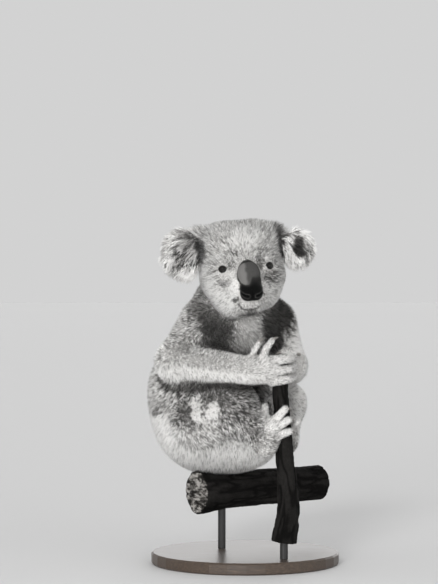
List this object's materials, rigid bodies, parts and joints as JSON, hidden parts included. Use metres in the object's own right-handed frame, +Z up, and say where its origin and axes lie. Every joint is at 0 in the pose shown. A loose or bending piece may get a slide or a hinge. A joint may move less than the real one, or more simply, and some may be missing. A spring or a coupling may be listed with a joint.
{
  "type": "koala on a perch",
  "caption": "Life-size still model of a koala sitting on a cut log and gripping an upright branch, on a plain display stand.",
  "frame": {"origin": "middle of the flat underside of the stand's base, on the floor", "axes": "+Z up, the koala's head looks along -Y, the koala's left side towards +X"},
  "size_m": [0.2973, 0.27, 0.5332],
  "materials": {
    "coat": "dense soft fur, ash grey with white chest, rump and ear fringes",
    "nose": "bare dark skin, finely pebbled, with a soft sheen",
    "eye": "wet, dark brown",
    "claw": "dark horn, smooth",
    "bark": "rough dry bark, cut ends paler",
    "stand": "dark stained, satin",
    "rod": "satin black"
  },
  "bodies": {
    "root": {"claw_foot_left_fifth": "claw", "claw_foot_left_fourth": "claw", "claw_foot_left_second": "claw", "claw_foot_right_fifth": "claw", "claw_foot_right_fourth": "claw", "claw_foot_right_second": "claw", "claw_hand_left_fifth": "claw", "claw_hand_left_first": "claw", "claw_hand_left_fourth": "claw", "claw_hand_left_second": "claw", "claw_hand_left_third": "claw", "claw_hand_right_fifth": "claw", "claw_hand_right_first": "claw", "claw_hand_right_fourth": "claw", "claw_hand_right_second": "claw", "claw_hand_right_third": "claw", "ear_left": "coat", "ear_right": "coat", "eye_left": "eye", "eye_right": "eye", "foot_left": "coat", "foot_right": "coat", "forearm_left": "coat", "forearm_right": "coat", "hand_left": "coat", "hand_right": "coat", "head": "coat", "neck": "coat", "nose": "nose", "perch_branch": "bark", "perch_log": "bark", "shin_left": "coat", "shin_right": "coat", "stand_base": "stand", "stand_rod_1": "rod", "stand_rod_2": "rod", "thigh_left": "coat", "thigh_right": "coat", "trunk": "coat", "upper_arm_left": "coat", "upper_arm_right": "coat"}
  },
  "joints": []
}
